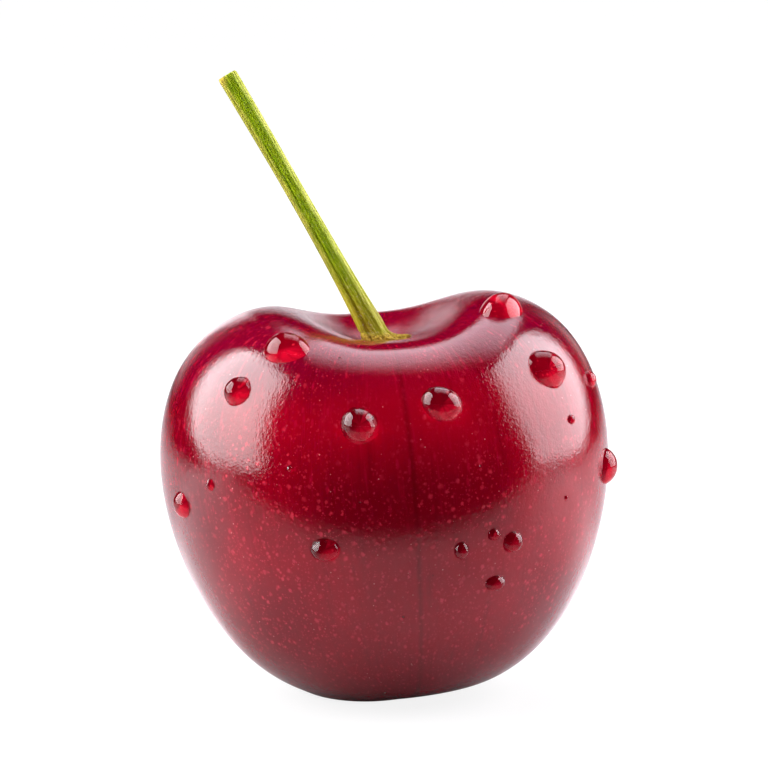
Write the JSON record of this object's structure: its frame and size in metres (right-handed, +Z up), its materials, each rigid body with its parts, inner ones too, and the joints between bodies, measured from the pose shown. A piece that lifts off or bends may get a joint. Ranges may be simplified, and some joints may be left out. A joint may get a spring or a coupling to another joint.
{
  "type": "cherry",
  "caption": "Fresh dark-red sweet cherry with a heart-shaped body, a deep stalk hollow, a short green stalk leaning to one side and clear water drops on its skin.",
  "frame": {"origin": "centre of the small flat spot under the fruit, on the surface that it stands on", "axes": "+Z up; -Y is the front, where the seam runs down the fruit; the stalk leans towards -X"},
  "size_m": [0.0264, 0.0243, 0.0362],
  "materials": {
    "fruit_skin": "smooth waxy fruit skin, deep red, glossy",
    "stalk": "fresh green plant stalk, matt, ribbed near its foot",
    "water": "clear water"
  },
  "bodies": {
    "root": {"fruit": "fruit_skin", "stalk": "stalk", "drop_left_shoulder": "water", "drop_left_cheek": "water", "drop_front_left": "water", "drop_front_right": "water", "drop_right_shoulder": "water", "drop_right_cheek": "water", "drop_right_rim": "water", "drop_right_side": "water", "bead_right": "water", "drop_belly_right": "water", "drop_belly_upper": "water", "drop_belly_middle": "water", "drop_belly_lower": "water", "drop_belly_left": "water", "drop_left_side": "water", "bead_left": "water"}
  },
  "joints": []
}
